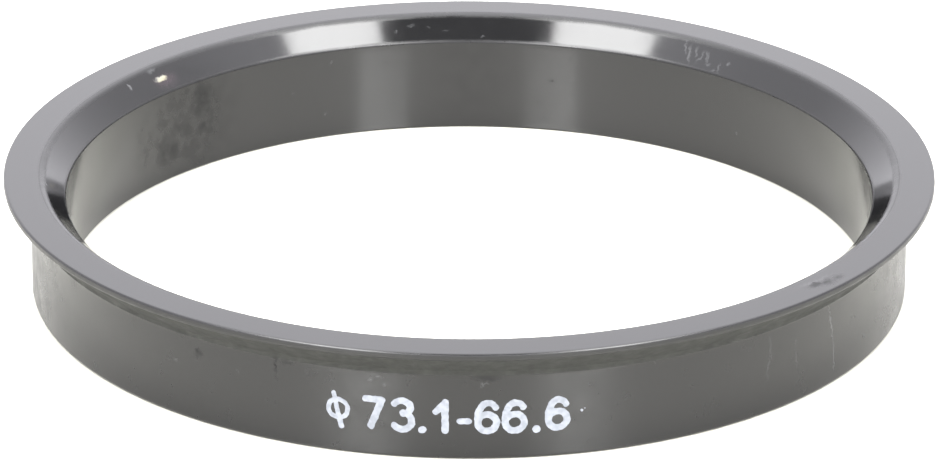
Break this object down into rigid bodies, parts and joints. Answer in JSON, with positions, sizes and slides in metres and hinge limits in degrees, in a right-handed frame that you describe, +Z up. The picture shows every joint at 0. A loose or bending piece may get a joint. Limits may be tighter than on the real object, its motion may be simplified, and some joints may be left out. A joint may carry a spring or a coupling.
{
  "type": "hub centric ring",
  "caption": "Black moulded plastic ring with a bevelled lip and a chamfered bore, which centres a wheel on a hub smaller than the wheel's centre bore.",
  "frame": {"origin": "centre of the small end, on the surface that the ring stands on", "axes": "+Z up the ring's axis towards the lip; -Y towards the side that carries the printed sizes"},
  "size_m": [0.0774, 0.0774, 0.01],
  "materials": {
    "ring_plastic": "black, semi-gloss as moulded, with a white pad-printed size mark on the wall"
  },
  "bodies": {
    "root": {"hub_ring": "ring_plastic"}
  },
  "joints": []
}
